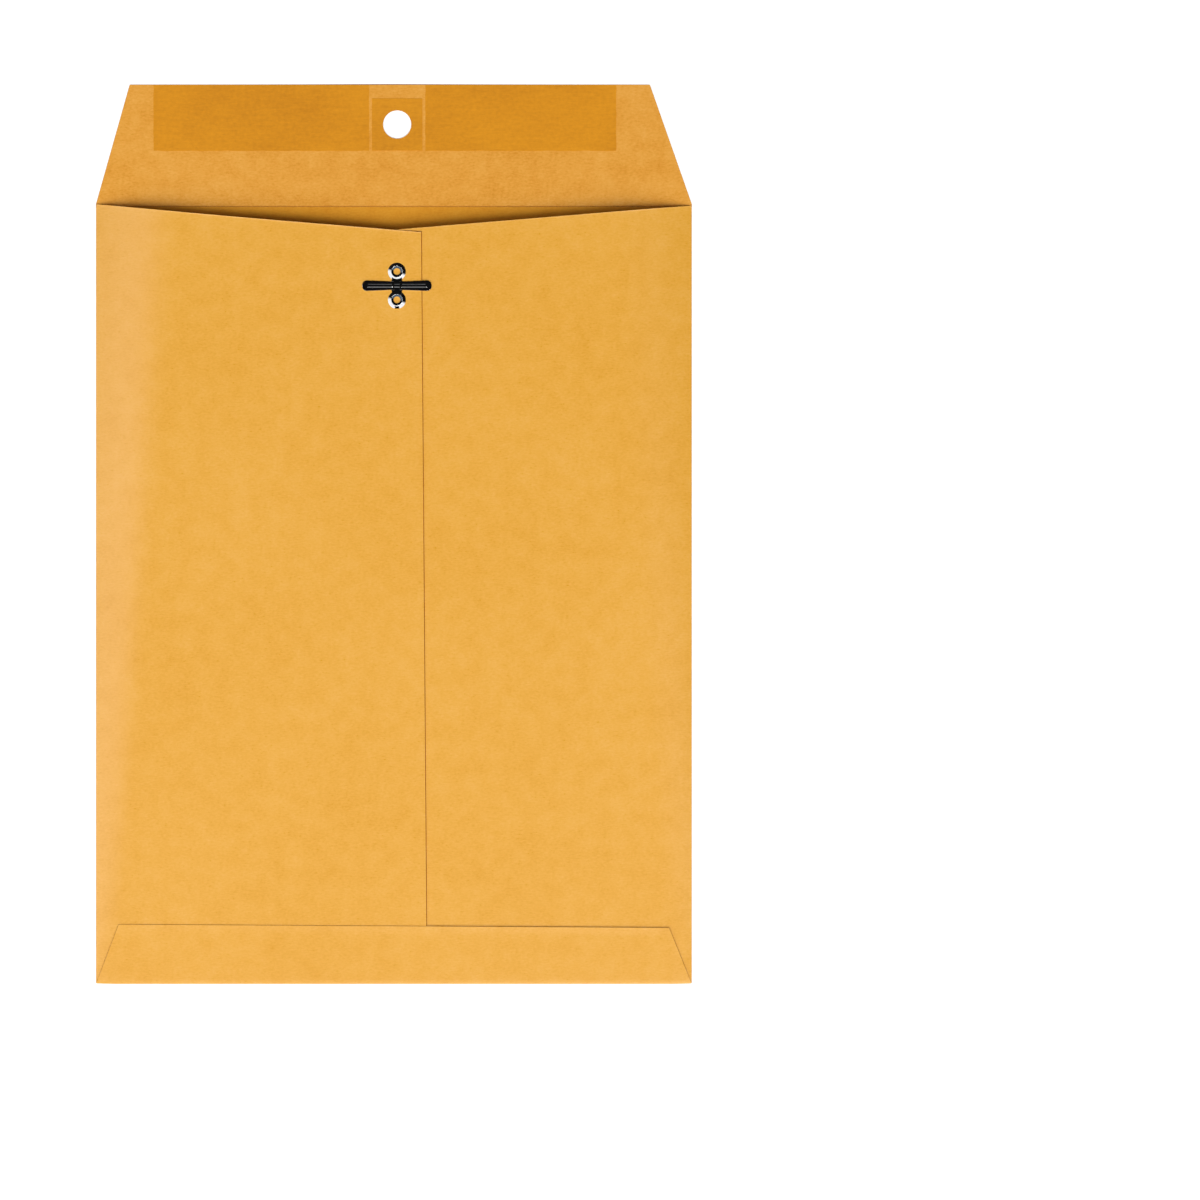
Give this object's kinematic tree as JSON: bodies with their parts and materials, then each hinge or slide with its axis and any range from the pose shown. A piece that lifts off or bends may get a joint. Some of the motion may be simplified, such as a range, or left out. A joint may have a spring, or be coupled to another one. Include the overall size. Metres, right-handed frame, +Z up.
{
  "type": "clasp envelope",
  "caption": "Flat kraft paper envelope with an open trapezoid seal flap, gummed and punched, and a metal clasp whose folding prongs pass through the flap's hole.",
  "frame": {"origin": "centre of the front panel's outer face, midway between the side edges and midway between the bottom fold and the flap's fold line", "axes": "+X to the right as one looks at the back with the flap at the top, +Y from the bottom fold towards the seal flap, +Z up through the back, square to the front panel"},
  "size_m": [0.253, 0.3819, 0.0069],
  "materials": {
    "kraft": "matte",
    "gum": "matte",
    "flap_gum": "satin",
    "patch": "matte",
    "tinplate": "polished"
  },
  "bodies": {
    "front": {"front_panel": "kraft", "flap_crease": "kraft", "left_side_fold": "kraft", "right_side_fold": "kraft"},
    "back": {"left_back_panel": "kraft", "right_back_panel": "kraft", "seam_gum": "gum", "bottom_fold": "kraft", "bottom_flap": "kraft", "bottom_gum": "gum", "clasp_base": "tinplate"},
    "flap": {"seal_flap": "kraft", "left_gum_strip": "flap_gum", "right_gum_strip": "flap_gum", "hole_patch": "patch"},
    "left_prong": {"left_prong": "tinplate"},
    "right_prong": {"right_prong": "tinplate"}
  },
  "joints": [
    {"name": "flap_fold", "type": "hinge", "parent": "front", "child": "flap", "pos_m": [0, 0.1659, 0.0008], "axis": [1, 0, 0], "range_deg": [0, 178], "deforming": ["flap_crease"]},
    {"name": "mouth_gape", "type": "hinge", "parent": "front", "child": "back", "pos_m": [0, -0.16459, 0.00051], "axis": [1, 0, 0], "range_deg": [-1.03, 0], "deforming": ["left_side_fold", "right_side_fold"]},
    {"name": "left_prong_fold", "type": "hinge", "parent": "back", "child": "left_prong", "pos_m": [0.0001, 0.13124, 0.00627], "axis": [0, 0.9998, 0.0179], "range_deg": [0, 90]},
    {"name": "right_prong_fold", "type": "hinge", "parent": "back", "child": "right_prong", "pos_m": [0.0027, 0.13124, 0.00627], "axis": [0, -0.9998, -0.0179], "range_deg": [0, 90]}
  ],
  "couplings": [
    {"joint": "mouth_gape", "follows": "flap_fold", "ratio": -0.0057596}
  ]
}
